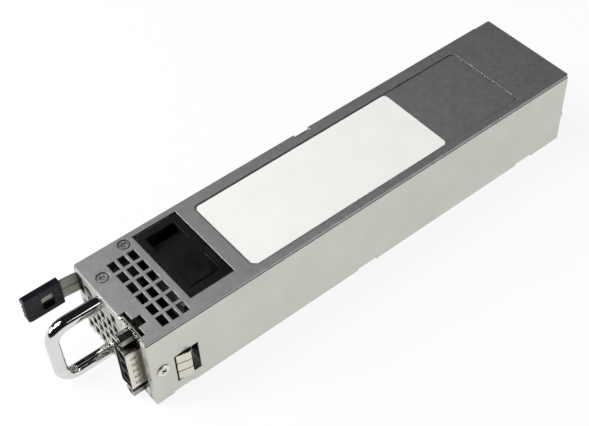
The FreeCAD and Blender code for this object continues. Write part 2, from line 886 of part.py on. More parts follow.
def side_screw():
    """The pan-headed screw that holds the front panel's side flange."""
    place = (side_screw_y, side_screw_z)
    top = case_width + side_head_height
    head = rod("x", place, case_width, top, side_head_radius)
    rim = [edge for edge in head.Edges if edge.BoundBox.XMin > top - 0.01]
    head = head.makeChamfer(side_head_height * 0.5, rim)
    shank = rod("x", place, inner_right - sheet - 2.5, case_width, screw_thread_radius)
    cross = group(cross_cut("x", place, top - side_cross_depth, side_cross_depth + 1))
    cross.rotate(Vector(0, *place), Vector(1, 0, 0), side_cross_turn)
    return cut(join([head, shank]), cross.Solids)


# ================================================================ handle
def grab_handle():
    """A round bar bent into a D, standing on two threaded feet."""
    corners = [(0, handle_low), (-handle_reach, handle_low), (-handle_reach, handle_high), (0, handle_high)]
    bar = bent_bar([Vector(handle_x, y, z) for y, z in corners], handle_radius, handle_bend)
    threads = [rod("y", (handle_x, z), -handle_thread_depth, 0, handle_thread_radius)
               for z in (handle_low, handle_high)]
    return cut(bar, threads)


def handle_screws():
    screws = []
    for z in (handle_low, handle_high):
        top = sheet + handle_screw_head_height
        head = rod("y", (handle_x, z), sheet, top, handle_screw_head_radius)
        shank = rod("y", (handle_x, z), handle_screw_end_gap - handle_thread_depth, sheet,
                    handle_thread_radius - thread_clearance)
        screws.append(cut(join([head, shank]), cross_cut("y", (handle_x, z), top - cross_depth, 1)))
    return group(screws)


# ================================================================ release latch
def rivet_places():
    middle = latch_low + latch_height / 2
    y0 = latch_pivot_y + latch_root_length / 4
    return [(y0, middle), (y0 + latch_root_length / 2, middle)]


def latch_line():
    """The leaf's outer face seen from above, from its flexing end to its tip in the grip."""
    return [(latch_left, latch_pivot_y - latch_split), (latch_left, -latch_step_rear),
            (latch_outer, latch_step_front - grip_rear), (latch_outer, -latch_reach)]


def latch_groove():
    """The shallow groove along the middle of the leaf's inner face, through both bends."""
    low = tooth_middle - latch_groove_width / 2
    layer = [folded_sheet("xy", latch_line(), latch_bend, thickness, low, latch_groove_width)
             for thickness in (latch_thickness - latch_groove_depth, latch_thickness + latch_bend / 2)]
    span = box(latch_outer, latch_right + latch_bend, tongue_root - 1, latch_groove_end, low,
               low + latch_groove_width)
    return layer[1].cut(layer[0]).common(span)


def latch_arm():
    """The free length of the latch leaf with its pressed tooth; it steps outward to the grip."""
    t = latch_thickness
    leaf = folded_sheet("xy", latch_line(), latch_bend, t, latch_low, latch_height)
    low = tooth_middle - tooth_height / 2
    tip = -tooth_reach
    points = [(latch_left, tooth_front), (tip, tooth_front), (tip, tooth_front + tooth_land),
              (latch_left, tooth_front + tooth_length)]
    tooth = prism("xy", points, low, tooth_height)
    hollow = [(latch_right + 0.01, tooth_front + t), (tip + t * 1.6, tooth_front + t),
              (latch_right + 0.01, tooth_front + tooth_length - t * 1.2)]
    beside_tongue = box(latch_outer - 1, latch_outer + t + 1, -latch_reach - 1, tongue_root, latch_low - 1,
                        tongue_low)
    hollow_cut = prism("xy", hollow, low + t, tooth_height - 2 * t)
    return cut(join([leaf, tooth]), [hollow_cut, beside_tongue, latch_groove()])


def latch_leaf_root():
    """The riveted end of the latch leaf, flat against the side wall."""
    root = box(latch_left, latch_right, latch_pivot_y, latch_pivot_y + latch_root_length, latch_low,
               latch_high)
    holes = [rod("x", place, 0, 3, rivet_radius + thread_clearance) for place in rivet_places()]
    return cut(root, holes)


def latch_rivets():
    rivets = []
    for place in rivet_places():
        shank = rod("x", place, 0, latch_right, rivet_radius)
        head = rod("x", place, latch_right, latch_right + rivet_head, rivet_head_radius)
        rivets.append(join([shank, head]))
    return group(rivets)


def latch_grip():
    """The moulded grip over the leaf's end: a window, finger ridges and one round corner."""
    rear = -grip_rear
    front = rear - grip_length
    top = grip_low + grip_height
    face = latch_outer + latch_thickness
    body = prism("yz", [(rear, grip_low), (rear, top), (front, top), (front, grip_low)], grip_left,
                 grip_thickness, [grip_rear_corner, grip_rear_corner, grip_top_corner, grip_corner])
    tools = []
    pitch = (grip_height - grip_corner - grip_ridge_top - grip_ridge_bottom) / grip_ridges
    for i in range(grip_ridges):
        z = top - grip_ridge_top - pitch * (i + 0.5)
        tools.append(rod("x", (front - grip_ridge_offset, z), grip_left - 1,
                         grip_left + grip_thickness + 1, grip_ridge_radius))
    window_rear = rear - grip_window_rear
    window_low = tooth_middle - grip_window_drop - grip_window_height / 2
    window_high = window_low + grip_window_height
    tools.append(rounded_box("yz", window_rear - grip_window_length, window_rear, window_low, window_high,
                             face, grip_thickness, grip_window_corner))
    tools.append(box(latch_outer, face + 1, window_rear - grip_window_length + grip_window_corner,
                     window_rear - grip_window_corner,
                     window_low + 0.6, tongue_low + 0.1))
    tools.append(box(latch_outer, face, -latch_reach, rear + 1, tongue_low, latch_high))
    tools.append(box(latch_outer, face, tongue_root, rear + 1, latch_low, latch_high))
    return cut(body, tools)


# ================================================================ status light
def status_lens():
    """A round lens with a low dome, snapped in from behind."""
    place = (light_x, light_z)
    body = rod("y", place, 0, sheet, light_radius)
    flange = rod("y", place, sheet, sheet + light_flange_thickness, light_flange_radius)
    sphere = (light_radius ** 2 + light_dome ** 2) / (2 * light_dome)
    ball = Part.makeSphere(sphere, Vector(light_x, -light_dome + sphere, light_z))
    dome = ball.common(rod("y", place, -light_dome - 1, 0, light_radius))
    socket = rod("y", place, sheet - 0.2, sheet + 2, led_radius + thread_clearance)
    return cut(join([body, flange, dome]), [socket])


def status_led():
    place = (light_x, light_z)
    end = sheet + led_length
    bulb = rod("y", place, sheet - 0.15, end, led_radius)
    rim = rod("y", place, end - led_rim, end, led_rim_radius)
    legs = [rod("y", (light_x + side * led_leg_half_pitch, light_z), end, end + led_leg_length,
                led_leg_radius) for side in (-1, 1)]
    return join([bulb, rim] + legs)


# ================================================================ power connector
def dee(long_side, width, corner, start, end):
    """The D outline of the connector, its long side towards the handle."""
    slant = width * math.tan(math.radians(shell_slope))
    x0 = connector_x - width / 2
    x1 = connector_x + width / 2
    points = [(x0, connector_z - long_side / 2), (x1, connector_z - long_side / 2 + slant),
              (x1, connector_z + long_side / 2 - slant), (x0, connector_z + long_side / 2)]
    return prism("xz", points, start, end - start, corner)


def jack_places():
    return [connector_z - jack_spacing / 2, connector_z + jack_spacing / 2]


def contact_places():
    return [connector_z + step * contact_pitch for step in (-1, 0, 1)]


def connector_flange(start):
    return rounded_box("xz", connector_x - flange_width / 2, connector_x + flange_width / 2,
                       connector_z - flange_height / 2, connector_z + flange_height / 2, start,
                       flange_thickness, flange_corner)


def connector_shell():
    """The drawn front shell with its flange and grounding dimples."""
    outer = dee(shell_long, shell_width, shell_corner, -shell_reach, 0)
    shell = join([outer, connector_flange(0)])
    inner = dee(shell_long - 2 * shell_wall, shell_width - 2 * shell_wall, shell_corner - shell_wall,
                -shell_reach - 1, flange_thickness + 1)
    tools = [inner] + [rod("y", (connector_x, z), -1, 2, jack_hole_radius) for z in jack_places()]
    shell = cut(shell, tools)
    axis_x = connector_x + shell_width / 2 + shell_dimple_inset
    start = -shell_reach / 2 - shell_dimple_length / 2
    dimples = []
    for i in range(shell_dimples):
        z = connector_z + (i - (shell_dimples - 1) / 2) * shell_dimple_pitch
        dimples.append(rod("y", (axis_x, z), start, start + shell_dimple_length, shell_dimple_radius))
    return cut(shell, dimples)


def connector_back_plate():
    plate = connector_flange(flange_thickness)
    tools = [dee(shell_long - 2 * shell_wall, shell_width - 2 * shell_wall, shell_corner - shell_wall, 0, 3)]
    tools += [rod("y", (connector_x, z), 0, 3, jack_hole_radius) for z in jack_places()]
    return cut(plate, tools)


def connector_insulator():
    """The moulded body that holds the three contacts."""
    narrower = 2 * (shell_wall + insulator_clearance)
    body = dee(shell_long - narrower, shell_width - narrower,
               shell_corner - shell_wall, insulator_front, body_depth)
    tools = [rod("y", (connector_x, z), insulator_front - 1, body_depth + 1,
                 contact_radius + thread_clearance)
             for z in contact_places()]
    return cut(body, tools)


def power_contacts():
    """Three turned sockets with a solder cup behind, set back in the insulator's holes."""
    contacts = []
    front = insulator_front + contact_inset
    end = body_depth + contact_cup_length
    for z in contact_places():
        place = (connector_x, z)
        socket = rod("y", place, front, body_depth, contact_radius)
        cup = rod("y", place, body_depth, end, contact_cup_radius)
        bore = rod("y", place, front - 1, contact_bore_end, contact_bore_radius)
        hollow = rod("y", place, body_depth + contact_cup_floor, end + 1, contact_cup_bore)
        contacts.append(cut(join([socket, cup]), [bore, hollow]))
    return group(contacts)


def jack_sockets():
    """Hexagonal sockets: threaded hole in front, threaded shank through the flange behind."""
    sockets = []
    for z in jack_places():
        body = hexagon("y", (connector_x, z), -jack_length, 0, jack_across_flats)
        shank = rod("y", (connector_x, z), 0, set_back + sheet + jack_shank_length, jack_shank_radius)
        hole = rod("y", (connector_x, z), -jack_length - 1, -jack_floor, jack_thread_radius)
        sockets.append(cut(join([body, shank]), [hole]))
    return group(sockets)


def jack_nuts():
    nuts = []
    start = set_back + sheet
    for z in jack_places():
        nut = hexagon("y", (connector_x, z), start, start + jack_nut_height, jack_across_flats)
        hole = rod("y", (connector_x, z), start - 1, start + jack_nut_height + 1,
                   jack_shank_radius + thread_clearance)
        nuts.append(cut(nut, [hole]))
    return group(nuts)


# ================================================================ grounding spring
def spring_low():
    total = spring_fingers * spring_finger_height + (spring_fingers - 1) * spring_slot
    return (spring_window_low + spring_window_high - total) / 2


def grounding_spring():
    """Three bowed fingers on one hooked edge; the hook sits inside the window's front edge."""
    t = spring_thickness
    wall = case_width
    peak = wall + spring_bulge
    front = spring_window_front
    seat = inner_right - spring_seat_gap
    line = [(seat, front - spring_hook), (seat, front + spring_rise), (wall - 0.1, front + spring_knee),
            (peak, front + spring_peak_front), (peak - 0.1, front + spring_peak_rear),
            (wall - 0.6, front + spring_tail_front), (inner_right - 0.9, front + spring_tail_rear)]
    low = spring_low()
    total = spring_fingers * spring_finger_height + (spring_fingers - 1) * spring_slot
    leaf = folded_sheet("xy", line, spring_bend, t, low, total)
    slots = []
    for i in range(1, spring_fingers):
        z = low + i * spring_finger_height + (i - 1) * spring_slot
        slots.append(box(inner_right - 3, peak + 1, front + spring_seat_gap, front + spring_tail_rear + 3, z,
                         z + spring_slot))
    return cut(leaf, slots)


# ================================================================ fan
def fan_frame():
    y0 = fan_front
    y1 = fan_rear
    half = fan_size / 2
    place = (fan_x, fan_z)
    square = (fan_x - half, fan_x + half, fan_z - half, fan_z + half)
    front = rounded_box("xz", *square, y0, fan_flange, fan_corner)
    rear = rounded_box("xz", *square, y1 - fan_flange, fan_flange, fan_corner)
    whole = rounded_box("xz", *square, y0, fan_depth, fan_corner)
    duct = rod("y", place, y0, y1, fan_bore + fan_duct_wall)
    low = -half
    high = half - fan_rim
    posts = [box(fan_x + i, fan_x + i + fan_rim, y0, y1, fan_z + j, fan_z + j + fan_rim)
             for i in (low, high) for j in (low, high)]
    body = join([front, rear, join([duct] + posts).common(whole)])
    tools = [rod("y", place, y0 - 1, y1 + 1, fan_bore)]
    tools += [rod("y", spot, y0 - 1, y1 + 1, fan_hole_radius) for spot in fan_hole_places()]
    body = cut(body, tools)
    base = rod("y", place, y1 - fan_base_thickness, y1, fan_base_radius)
    struts = []
    for i in range(fan_strut_count):
        strut = box(fan_x + 5, fan_x + fan_bore + 0.4, y1 - fan_base_thickness, y1,
                    fan_z - fan_strut_width / 2, fan_z + fan_strut_width / 2)
        strut.rotate(Vector(fan_x, 0, fan_z), Vector(0, 1, 0), 45 + i * 360 / fan_strut_count)
        struts.append(strut)
    sleeve = rod("y", place, tube_front(), y1, fan_tube_radius)
    frame = join([body, base, sleeve] + struts)
    return cut(frame, [rod("y", place, tube_front() - 1, y1 - fan_tube_floor, fan_bearing_radius)])


def fan_hole_places():
    half = fan_hole_spacing / 2
    return [(fan_x + i * half, fan_z + j * half) for i in (-1, 1) for j in (-1, 1)]


def tube_front():
    return fan_front + hub_front_inset + hub_wall + yoke_thickness + rotor_running_gap


def hub_front():
    return fan_front + hub_front_inset


def blade():
    """One fan blade: a thin bowed section at the root, ruled to a flatter one at the tip."""
    sections = []
    tip_radius = fan_bore - fan_tip_clearance
    middle_y = hub_front() + 1.3 + blade_depth / 2
    for step in (0, 1):
        radius = (hub_radius - 0.3) + step * (tip_radius + 0.4 - hub_radius + 0.3)
        pitch = math.radians(blade_root_pitch + step * (blade_tip_pitch - blade_root_pitch))
        half_depth = blade_depth / 2
        half_span = half_depth * math.tan(pitch) * blade_chord_share
        start = Vector(radius, -half_depth, -half_span)
        end = Vector(radius, half_depth, half_span)
        along = (end - start).normalize()
        side = Vector(1, 0, 0).cross(along) * -1
        centre = (start + end) / 2 + side * blade_bow
        offset = side * blade_thickness
        outer = Part.Arc(start, centre + offset, end).toShape()
        inner = Part.Arc(end, centre, start).toShape()
        sections.append(Part.Wire([outer, inner]))
    solid = Part.makeLoft(sections, True, True)
    solid.translate(Vector(fan_x, middle_y, fan_z))
    return solid


def fan_impeller():
    place = (fan_x, fan_z)
    y0 = hub_front()
    hub = rod("y", place, y0, y0 + hub_depth, hub_radius)
    front_rim = [edge for edge in hub.Edges if edge.BoundBox.YMax < y0 + 0.01]
    hub = hub.makeChamfer(hub_chamfer, front_rim)
    blades = []
    for i in range(blade_count):
        one = blade()
        one.rotate(Vector(fan_x, 0, fan_z), Vector(0, 1, 0), i * 360 / blade_count)
        blades.append(one)
    wheel = join([hub] + blades)
    limit = rod("y", place, y0, y0 + hub_depth, fan_bore - fan_tip_clearance)
    wheel = wheel.common(limit)
    hollow = rod("y", place, y0 + hub_wall, y0 + hub_depth + 1, hub_radius - hub_wall)
    bore = rod("y", place, y0 + hub_wall - fan_shaft_seat, y0 + hub_depth, fan_shaft_radius)
    return cut(wheel, [hollow, bore])


def fan_yoke():
    """The drawn steel cup inside the hub."""
    place = (fan_x, fan_z)
    y0 = hub_front() + hub_wall
    outer = rod("y", place, y0, hub_front() + hub_depth, hub_radius - hub_wall)
    inner = rod("y", place, y0 + yoke_thickness, hub_front() + hub_depth + 1,
                hub_radius - hub_wall - yoke_thickness)
    return cut(outer, [inner, rod("y", place, y0 - 1, y0 + 2, fan_shaft_radius)])


def fan_magnet():
    outer = hub_radius - hub_wall - yoke_thickness
    end = hub_front() + hub_depth - magnet_inset
    return tube("y", (fan_x, fan_z), end - magnet_length, end, outer, outer - magnet_thickness)


def fan_shaft():
    return rod("y", (fan_x, fan_z), hub_front() + hub_wall - fan_shaft_seat,
               fan_rear - fan_tube_floor - fan_shaft_end_gap, fan_shaft_radius)


def fan_bearings():
    bearings = []
    rear = fan_rear - fan_tube_floor - fan_bearing_inset - fan_bearing_width
    for start in (tube_front() + fan_bearing_inset, rear):
        bearings.append(tube("y", (fan_x, fan_z), start, start + fan_bearing_width, fan_bearing_radius,
                             fan_shaft_radius + running_clearance))
    return group(bearings)


def stator_radius():
    return hub_radius - hub_wall - yoke_thickness - magnet_thickness - stator_gap


def stator_start():
    return hub_front() + hub_depth - stator_inset


def fan_stator():
    """The laminated core: four teeth with pole shoes round the bearing tube."""
    place = (fan_x, fan_z)
    y0 = stator_start()
    y1 = y0 + stator_stack
    ring = tube("y", place, y0, y1, stator_radius(), stator_radius() - pole_shoe)
    core = rod("y", place, y0, y1, fan_tube_radius + stator_core_wall)
    half = tooth_width / 2
    teeth = []
    gaps = []
    for i in range(stator_teeth):
        angle = 360 / stator_teeth * i
        tooth = box(fan_x + fan_tube_radius - 1, fan_x + stator_radius() - pole_shoe / 3, y0, y1,
                    fan_z - half, fan_z + half)
        tooth.rotate(Vector(fan_x, 0, fan_z), Vector(0, 1, 0), angle)
        teeth.append(tooth)
        gap = box(fan_x + stator_radius() - pole_shoe * 2, fan_x + stator_radius() + 1, y0 - 1, y1 + 1,
                  fan_z - shoe_slot / 2, fan_z + shoe_slot / 2)
        gap.rotate(Vector(fan_x, 0, fan_z), Vector(0, 1, 0), angle + 180 / stator_teeth)
        gaps.append(gap)
    stator = join([ring, core] + teeth)
    return cut(stator, gaps + [rod("y", place, y0 - 1, y1 + 1, fan_tube_radius)])


def fan_coils():
    """One winding round each stator tooth."""
    coils = []
    y0 = stator_start()
    y1 = y0 + stator_stack
    inner = fan_tube_radius + stator_core_wall + 0.1
    outer = stator_radius() - pole_shoe - 0.4
    half = tooth_width / 2
    for i in range(stator_teeth):
        around = box(fan_x + inner, fan_x + outer, y0 - coil_end, y1 + coil_end, fan_z - half - coil_build,
                     fan_z + half + coil_build)
        slot = box(fan_x + inner - 1, fan_x + outer + 1, y0, y1, fan_z - half, fan_z + half)
        coil = around.cut(slot)
        coil.rotate(Vector(fan_x, 0, fan_z), Vector(0, 1, 0), 360 / stator_teeth * i)
        coils.append(coil)
    return group(coils)


def fan_board():
    """The fan's driver board, a ring between the stator and the frame's base."""
    end = fan_rear - fan_base_thickness - fan_board_gap
    return tube("y", (fan_x, fan_z), end - fan_board_thickness, end, fan_board_radius,
                fan_tube_radius + 0.1)


def fan_bracket():
    """The upright sheet in front of the fan, with a foot below and an ear under the cover."""
    y1 = fan_front
    y0 = y1 - sheet
    left = fan_x - fan_size / 2
    right = fan_x + fan_size / 2
    foot = y0 - bracket_front_foot
    line = [(foot, sheet), (y1, sheet), (y1, panel_top), (foot, panel_top)]
    sheet_shape = folded_sheet("yz", line, fold_radius, sheet, left, right - left)
    ear_x = cover_screw_places[1][0]
    fold_high = sheet + fold_radius
    tools = [box(left + bracket_ear_width, right + 1, 0, y0, panel_top - fold_radius, case_height),
             box(left - 1, left + bracket_relief, 0, y0, 0, fold_high),
             box(right - bracket_relief, right + 1, 0, y0, 0, fold_high)]
    bracket = cut(sheet_shape, tools)
    ear = box(ear_x - bracket_ear_left, ear_x + bracket_ear_right, foot, y0 - 0.6, panel_top - sheet,
              panel_top)
    bracket = join([bracket, ear])
    x, y = cover_screw_places[1]
    tools = [rod("y", (fan_x, fan_z), y0 - 1, y1 + 1, fan_bore)]
    tools += [rod("y", spot, y0 - 1, y1 + 1, fan_hole_radius) for spot in fan_hole_places()]
    tools.append(rod("z", (x, y), panel_top - 3, panel_top + 1, screw_thread_radius + thread_clearance))
    return cut(bracket, tools)


def fan_screws():
    """Two screws on the diagonal hold the fan to its bracket."""
    screws = []
    y0 = fan_front - sheet
    places = fan_hole_places()
    for spot in (places[0], places[-1]):
        top = y0 - fan_screw_head_height
        head = rod("y", spot, top, y0, fan_screw_head_radius)
        shank = rod("y", spot, y0, fan_front + fan_screw_length, fan_hole_radius - thread_clearance)
        screws.append(cut(join([head, shank]), cross_cut("y", spot, top - 1 + cross_depth, 1)))
    return group(screws)


# ================================================================ main board
def standoff_places():
    ys = (board_front + standoff_front, case_length - standoff_rear)
    return [(x, y) for x in (standoff_inset, case_width - standoff_inset) for y in ys]


def main_board():
    """The circuit board with its card edge through the rear panel."""
    left = inner_left + board_side_gap
    right = inner_right - board_side_gap
    rear = case_length - sheet - board_rear_gap
    middle = case_width / 2
    body = box(left, right, board_front, rear, board_bottom, board_top)
    half = card_edge_width / 2
    tongue = rounded_box("xy", middle - half, middle + half, rear - 3, case_length + card_edge_reach,
                         board_bottom, board_thickness, 0.8)
    tools = [rod("z", place, board_bottom - 1, board_top + 1, screw_thread_radius + 0.2)
             for place in standoff_places()]
    return cut(join([body, tongue]), tools)


def card_contacts():
    """Gold pads on both faces of the card edge: wide power pads outside, signal pads between."""
    pads = []
    middle = case_width / 2
    end = case_length + card_edge_reach - finger_edge
    edge = card_edge_width / 2 - finger_edge - power_pad_inset
    spans = []
    for side in (-1, 1):
        for i in range(power_pads):
            a = side * (edge - i * power_pad_pitch)
            b = a - side * power_pad_width
            spans.append((min(a, b), max(a, b)))
    for i in range(signal_pads):
        a = (i - (signal_pads - 1) / 2) * signal_pad_pitch - signal_pad_width / 2
        spans.append((a, a + signal_pad_width))
    for a, b in spans:
        for low in (board_bottom - finger_thickness, board_top):
            pads.append(box(middle + a, middle + b, end - finger_length, end, low, low + finger_thickness))
    return group(pads)


def board_standoffs():
    """Clinch standoffs: a spigot in the tray's floor, a hexagonal post, a threaded hole from above."""
    posts = []
    for x, y in standoff_places():
        post = hexagon("z", (x, y), sheet, board_bottom, standoff_across_flats)
        spigot = rod("z", (x, y), 0, sheet, standoff_spigot_radius)
        hole = rod("z", (x, y), sheet + 1, board_bottom + 1, screw_thread_radius + thread_clearance)
        posts.append(cut(join([post, spigot]), [hole]))
    return group(posts)


def board_screws():
    screws = []
    for place in standoff_places():
        head = rod("z", place, board_top, board_top + board_head_height, board_head_radius)
        shank = rod("z", place, board_bottom - board_screw_length, board_top, screw_thread_radius)
        screws.append(join([head, shank]))
    return group(screws)


def insulating_sheet():
    """A folded film that lines the tray's floor and both walls round the board."""
    rear = case_length - sheet - panel_flange - 0.5
    line = [(inner_left, film_height), (inner_left, sheet), (inner_right, sheet), (inner_right, film_height)]
    film = folded_sheet("xz", line, film_fold_radius, film_thickness, board_front, rear - board_front)
    return cut(film, [rod("z", place, 0, 3, standoff_across_flats * 0.7) for place in standoff_places()])


# ================================================================ components on the board
def on_board(x0, x1, y0, y1, height, lift=0.0):
    return box(x0, x1, y0, y1, board_top + lift, board_top + lift + height)


def filter_choke_core():
    low = board_top + choke_base + winding_build
    return tube("z", (choke_x, choke_y), low, low + choke_height, choke_outer, choke_inner)


def filter_choke_base():
    half = choke_base_half
    return on_board(choke_x - half, choke_x + half, choke_y - half, choke_y + half, choke_base)


def ring_segment(inner, outer, low, high, start, sweep):
    """Part of a square-edged ring round the filter choke's axis."""
    face = Part.Face(Part.makePolygon([Vector(r, 0, z) for r, z in (
        (inner, low), (outer, low), (outer, high), (inner, high), (inner, low))]))
    solid = face.revolve(Vector(0, 0, 0), Vector(0, 0, 1), sweep)
    solid.rotate(Vector(0, 0, 0), Vector(0, 0, 1), start)
    solid.translate(Vector(choke_x, choke_y, 0))
    return solid


def filter_choke_windings():
    """Two windings, each a sleeve of wire over a third of the ring."""
    low = board_top + choke_base
    high = low + choke_height + 2 * winding_build
    core = filter_choke_core()
    windings = []
    for start in (-60, 120):
        sleeve = ring_segment(choke_inner - winding_build, choke_outer + winding_build, low, high, start, 120)
        windings.append(sleeve.cut(core))
    return group(windings)


def bulk_capacitors():
    """Upright electrolytic capacitors, each with a crimped neck near its foot."""
    r = bulk_radius
    neck = r - can_neck_depth
    low = board_top
    crimp = low + can_neck
    half = can_neck_width / 2
    profile = [(0, low), (r, low), (r, crimp - half), (neck, crimp), (r, crimp + half),
               (r, low + bulk_height), (0, low + bulk_height)]
    x = inner_right - bulk_from_right
    first = board_front + bulk_from_front
    return group([turned(profile, x, first + i * bulk_spacing) for i in range(bulk_count)])


def output_capacitors():
    cans = []
    for column in output_can_columns:
        for i in range(output_can_rows):
            place = (inner_right - column, case_length - output_can_from_rear + i * output_can_pitch)
            cans.append(rod("z", place, board_top, board_top + output_can_height, output_can_radius))
    return group(cans)


def film_capacitors():
    blocks = []
    left = inner_left + film_block_from_left
    for i in range(film_block_count):
        y = board_front + film_block_from_front + i * film_block_spacing
        block = on_board(left, left + film_block_width, y, y + film_block_depth, film_block_height)
        edges = [edge for edge in block.Edges if edge.BoundBox.ZLength > film_block_height / 2]
        blocks.append(block.makeChamfer(film_block_edge, edges))
    return group(blocks)


def fuse():
    """A ceramic fuse with its two end caps and their feet."""
    x = inner_right - fuse_from_right
    z = board_top + fuse_lift
    front = board_front + fuse_from_front
    rear = front + fuse_length
    solids = [rod("y", (x, z), front + 1, rear - 1, fuse_radius)]
    for start in (front, rear - fuse_cap_length):
        solids.append(rod("y", (x, z), start, start + fuse_cap_length, fuse_cap_radius))
        foot = start + (fuse_cap_length - fuse_foot) / 2
        solids.append(box(x - fuse_foot / 2, x + fuse_foot / 2, foot, foot + fuse_foot, board_top, z))
    return join(solids)


def heat_sink(face, side, length):
    """An upright plate with level fins; side points from its mounting face to the fins' tips."""
    front = sink_front
    spans = [sorted((face, face + side * sink_plate)), sorted((face, face + side * sink_depth))]
    solids = [on_board(*spans[0], front, front + length, sink_height)]
    pitch = (sink_height - sink_fin) / (sink_fins - 1)
    for i in range(sink_fins):
        solids.append(on_board(*spans[1], front, front + length, sink_fin, i * pitch))
    return join(solids)


def primary_heat_sink():
    return heat_sink(primary_sink_face, -1, primary_sink_length)


def secondary_heat_sink():
    return heat_sink(secondary_sink_face, 1, secondary_sink_length)


def transistor(face, side, y):
    """A flat power package on a heat sink's face: a tab with a hole, a moulded body and three legs."""
    lift = transistor_lift
    half = transistor_width / 2
    tab = on_board(*sorted((face, face + side * transistor_tab)), y - half, y + half, transistor_tab_height,
                   lift)
    body = on_board(*sorted((face, face + side * transistor_body)), y - half, y + half,
                    transistor_body_height, lift)
    legs = []
    x = face + side * transistor_leg_inset
    reach = transistor_leg / 2
    for step in (-1, 0, 1):
        leg_y = y + step * transistor_leg_pitch
        legs.append(on_board(x - reach, x + reach, leg_y - reach, leg_y + reach, lift))
    height = board_top + lift + transistor_hole_height
    hole = rod("x", (y, height), face - 2 * transistor_tab, face + 2 * transistor_tab, transistor_hole_radius)
    return cut(join([tab, body] + legs), [hole])


def primary_ys():
    first = sink_front + transistor_first
    return [first + i * primary_transistor_pitch for i in range(primary_transistor_count)]


def rectifier_ys():
    first = sink_front + transistor_first
    return [first + i * rectifier_pitch for i in range(rectifier_count)]


def primary_transistors():
    return group([transistor(primary_sink_face, 1, y) for y in primary_ys()])


def rectifier_transistors():
    return group([transistor(secondary_sink_face, -1, y) for y in rectifier_ys()])


def transistor_screws():
    """Screws that clamp the transistors to the heat sinks."""
    screws = []
    height = board_top + transistor_lift + transistor_hole_height
    for face, side, ys in ((primary_sink_face, 1, primary_ys()), (secondary_sink_face, -1, rectifier_ys())):
        seat = face + side * transistor_tab
        top = seat + side * clamp_head_height
        for y in ys:
            head = rod("x", (y, height), *sorted((seat, top)), clamp_head_radius)
            shank = rod("x", (y, height), *sorted((face, seat)), screw_thread_radius)
            screws.append(join([head, shank]))
    return group(screws)


def transformer_core():
    """Two ferrite E halves closed on each other."""
    x0 = transformer_x - core_width / 2
    x1 = transformer_x + core_width / 2
    low = board_top + transformer_lift
    middle = low + core_height / 2
    leg_half = core_middle_leg / 2
    halves = []
    for side in (-1, 1):
        closing = transformer_y
        back = transformer_y + side * core_length / 2
        root = back - side * core_leg
        block = box(x0, x1, *sorted((back, closing)), low, low + core_height)
        window = box(x0 - 1, x1 + 1, *sorted((root, closing - side)), low + core_leg,
                     low + core_height - core_leg)
        leg = box(transformer_x - core_middle_width / 2, transformer_x + core_middle_width / 2,
                  *sorted((back, closing)), middle - leg_half, middle + leg_half)
        halves.append(join([block.cut(window), leg]))
    return group(halves)


def transformer_winding():
    """The bobbin's wound bundle round the middle leg."""
    low = board_top + transformer_lift
    middle = low + core_height / 2
    half = core_width / 2 + winding_overhang
    reach = core_length / 2 - core_leg
    outer = rounded_box("xz", transformer_x - half, transformer_x + half, low + core_leg,
                        low + core_height - core_leg,
                        transformer_y - reach, 2 * reach, winding_corner)
    inner = box(transformer_x - core_middle_width / 2, transformer_x + core_middle_width / 2,
                transformer_y - core_length, transformer_y + core_length,
                middle - core_middle_leg / 2, middle + core_middle_leg / 2)
    return outer.cut(inner)


def transformer_pins():
    pins = []
    half = pin_side / 2
    for side in (-1, 1):
        y = transformer_y + side * pin_row
        for i in range(pin_count):
            x = transformer_x + (i - (pin_count - 1) / 2) * pin_pitch
            pins.append(on_board(x - half, x + half, y - half, y + half, transformer_lift))
    return group(pins)


def output_choke_middle(reach):
    """The output choke's middle leg, over this much either side of its centre."""
    half = output_choke_middle_width / 2
    lift = output_choke_leg + (output_choke_height - output_choke_leg - output_choke_foot) / 2
    lift += (output_choke_foot - output_choke_leg) / 2 - output_choke_middle_height / 2
    return on_board(output_choke_x - half, output_choke_x + half, output_choke_y - reach,
                    output_choke_y + reach,
                    output_choke_middle_height, lift)


def output_choke_core():
    x0 = output_choke_x - output_choke_width / 2
    x1 = output_choke_x + output_choke_width / 2
    reach = output_choke_length / 2
    block = on_board(x0, x1, output_choke_y - reach, output_choke_y + reach, output_choke_height)
    inside = reach - output_choke_foot
    window = on_board(x0 - 1, x1 + 1, output_choke_y - inside, output_choke_y + inside,
                      output_choke_height - 2 * output_choke_leg, output_choke_leg)
    return join([block.cut(window), output_choke_middle(reach)])


def output_choke_winding():
    """A flat copper strap wound edgewise round the middle leg, with a gap between turns."""
    middle = output_choke_middle(output_choke_length)
    box_of = output_choke_middle(1).BoundBox
    inside = output_choke_length / 2 - output_choke_foot - strap_gap
    outer = box(box_of.XMin - strap_build, box_of.XMax + strap_build, output_choke_y - inside,
                output_choke_y + inside, box_of.ZMin - strap_build, box_of.ZMax + strap_build)
    winding = outer.cut(middle)
    grooves = []
    pitch = (2 * inside + strap_gap) / strap_turns
    for i in range(1, strap_turns):
        start = output_choke_y - inside + i * pitch - strap_gap
        ring = box(box_of.XMin - 2 * strap_build, box_of.XMax + 2 * strap_build, start, start + strap_gap,
                   box_of.ZMin - 2 * strap_build, box_of.ZMax + 2 * strap_build)
        keep = box(box_of.XMin - strap_build / 2, box_of.XMax + strap_build / 2, start, start + strap_gap,
                   box_of.ZMin - strap_build / 2, box_of.ZMax + strap_build / 2)
        grooves.append(ring.cut(keep))
    return cut(winding, grooves)


def output_bus_bars():
    """Two copper bars from the choke and the capacitors towards the card edge."""
    left, right, front, rear = choke_bar
    first = on_board(inner_left + left, inner_left + right, case_length - front, case_length - rear,
                     bar_thickness)
    left, right, front, rear = can_bar
    second = on_board(inner_right - left, inner_right - right, case_length - front, case_length - rear,
                      bar_thickness)
    return group([first, second])


